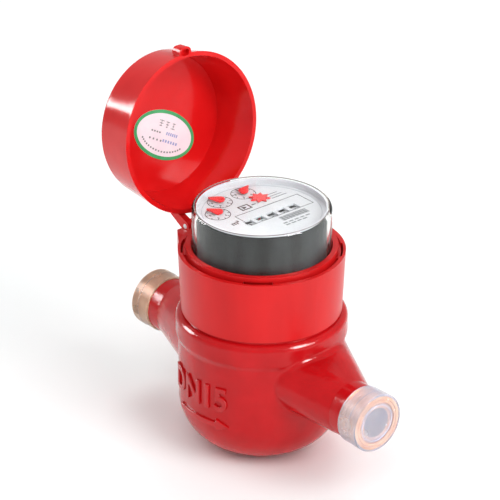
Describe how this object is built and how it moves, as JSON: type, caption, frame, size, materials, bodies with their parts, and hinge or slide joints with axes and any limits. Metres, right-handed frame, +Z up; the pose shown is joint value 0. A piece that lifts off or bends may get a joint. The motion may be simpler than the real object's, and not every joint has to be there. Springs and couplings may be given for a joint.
{
  "type": "water meter",
  "caption": "Rotary piston water meter with a deep red bowl body, offset necks under thread caps, a clear register cup and a hinged lid that stands open.",
  "frame": {"origin": "centre of the round foot, on the surface the meter stands on", "axes": "+Z up along the bowl, +X along the pipe line towards the outlet, the lid's hinge on the -X side"},
  "size_m": [0.1672, 0.0828, 0.1868],
  "materials": {
    "red_paint": "gloss",
    "red_plastic": "gloss",
    "cap_plastic": "translucent satin",
    "white_plastic": "satin",
    "grey_plastic": "satin",
    "black_plastic": "satin",
    "dial_white": "satin",
    "pointer_red": "gloss",
    "clear_cover": "clear",
    "brass": "machined",
    "steel": "brushed",
    "magnet_iron": "plain",
    "seal_rubber": "matte",
    "sticker": "paper"
  },
  "bodies": {
    "meter": {"meter_body": "red_paint", "inlet_strainer": "white_plastic", "chamber_gasket": "seal_rubber", "measuring_chamber": "white_plastic", "partition_plate": "steel", "chamber_cover": "white_plastic", "pressure_plate": "brass", "pressure_seal": "seal_rubber", "clamp_ring": "brass", "register_collar": "red_plastic", "hinge_pin": "steel", "register_glass": "clear_cover", "glass_gasket": "seal_rubber", "register_housing": "black_plastic", "gear_case": "black_plastic", "dial_plate": "dial_white", "counter_frame": "black_plastic", "number_shaft": "steel"},
    "lid": {"lid": "red_plastic", "lid_sticker": "sticker"},
    "outlet_cap": {"outlet_thread_cap": "cap_plastic"},
    "inlet_cap": {"inlet_thread_cap": "cap_plastic"},
    "driver": {"piston_driver": "grey_plastic", "drive_magnet": "magnet_iron"},
    "piston": {"rotary_piston": "grey_plastic"},
    "rotor": {"rotor_shaft": "grey_plastic", "follower_magnet": "magnet_iron"},
    "star": {"star_wheel": "pointer_red"},
    "pointer_left": {"pointer_left": "pointer_red"},
    "pointer_middle": {"pointer_middle": "pointer_red"},
    "pointer_right": {"pointer_right": "pointer_red"},
    "roller_1": {"number_roller_1": "dial_white"},
    "roller_2": {"number_roller_2": "dial_white"},
    "roller_3": {"number_roller_3": "dial_white"},
    "roller_4": {"number_roller_4": "dial_white"},
    "roller_5": {"number_roller_5": "dial_white"}
  },
  "joints": [
    {"name": "lid_hinge", "type": "hinge", "parent": "meter", "child": "lid", "pos_m": [-0.0445, 0, 0.1], "axis": [0, 1, 0], "range_deg": [0, 96.6]},
    {"name": "outlet_cap_slide", "type": "slide", "parent": "meter", "child": "outlet_cap", "axis": [1, 0, 0], "range_m": [0, 0.012]},
    {"name": "inlet_cap_slide", "type": "slide", "parent": "meter", "child": "inlet_cap", "axis": [-1, 0, 0], "range_m": [0, 0.012]},
    {"name": "drive_spin", "type": "hinge", "parent": "meter", "child": "driver", "pos_m": [0, 0, 0.0483], "axis": [0, 0, 1], "continuous": true},
    {"name": "piston_swing", "type": "hinge", "parent": "driver", "child": "piston", "pos_m": [0.005, 0, 0.0311], "axis": [0, 0, 1], "continuous": true},
    {"name": "rotor_spin", "type": "hinge", "parent": "meter", "child": "rotor", "pos_m": [0, 0, 0.0735], "axis": [0, 0, 1], "continuous": true},
    {"name": "star_spin", "type": "hinge", "parent": "meter", "child": "star", "pos_m": [-0.0115, 0.0082, 0.1209], "axis": [0, 0, 1], "continuous": true},
    {"name": "pointer_left_spin", "type": "hinge", "parent": "meter", "child": "pointer_left", "pos_m": [-0.011, -0.0178, 0.1209], "axis": [0, 0, 1], "continuous": true},
    {"name": "pointer_middle_spin", "type": "hinge", "parent": "meter", "child": "pointer_middle", "pos_m": [-0.0207, -0.0087, 0.1209], "axis": [0, 0, 1], "continuous": true},
    {"name": "pointer_right_spin", "type": "hinge", "parent": "meter", "child": "pointer_right", "pos_m": [-0.0207, 0.0058, 0.1209], "axis": [0, 0, 1], "continuous": true},
    {"name": "roller_1_spin", "type": "hinge", "parent": "meter", "child": "roller_1", "pos_m": [0.0054, -0.0118, 0.1144], "axis": [0, 1, 0], "continuous": true},
    {"name": "roller_2_spin", "type": "hinge", "parent": "meter", "child": "roller_2", "pos_m": [0.0054, -0.00505, 0.1144], "axis": [0, 1, 0], "continuous": true},
    {"name": "roller_3_spin", "type": "hinge", "parent": "meter", "child": "roller_3", "pos_m": [0.0054, 0.0017, 0.1144], "axis": [0, 1, 0], "continuous": true},
    {"name": "roller_4_spin", "type": "hinge", "parent": "meter", "child": "roller_4", "pos_m": [0.0054, 0.00845, 0.1144], "axis": [0, 1, 0], "continuous": true},
    {"name": "roller_5_spin", "type": "hinge", "parent": "meter", "child": "roller_5", "pos_m": [0.0054, 0.0152, 0.1144], "axis": [0, 1, 0], "continuous": true}
  ],
  "couplings": [
    {"joint": "piston_swing", "follows": "drive_spin", "ratio": -1},
    {"joint": "rotor_spin", "follows": "drive_spin", "ratio": 1},
    {"joint": "star_spin", "follows": "drive_spin", "ratio": -0.25},
    {"joint": "pointer_left_spin", "follows": "drive_spin", "ratio": -0.033333},
    {"joint": "pointer_middle_spin", "follows": "drive_spin", "ratio": -0.0033333},
    {"joint": "pointer_right_spin", "follows": "drive_spin", "ratio": -0.00033333},
    {"joint": "roller_1_spin", "follows": "drive_spin", "ratio": 0.0000000033333},
    {"joint": "roller_2_spin", "follows": "drive_spin", "ratio": 0.000000033333},
    {"joint": "roller_3_spin", "follows": "drive_spin", "ratio": 0.00000033333},
    {"joint": "roller_4_spin", "follows": "drive_spin", "ratio": 0.0000033333},
    {"joint": "roller_5_spin", "follows": "drive_spin", "ratio": 0.000033333}
  ]
}
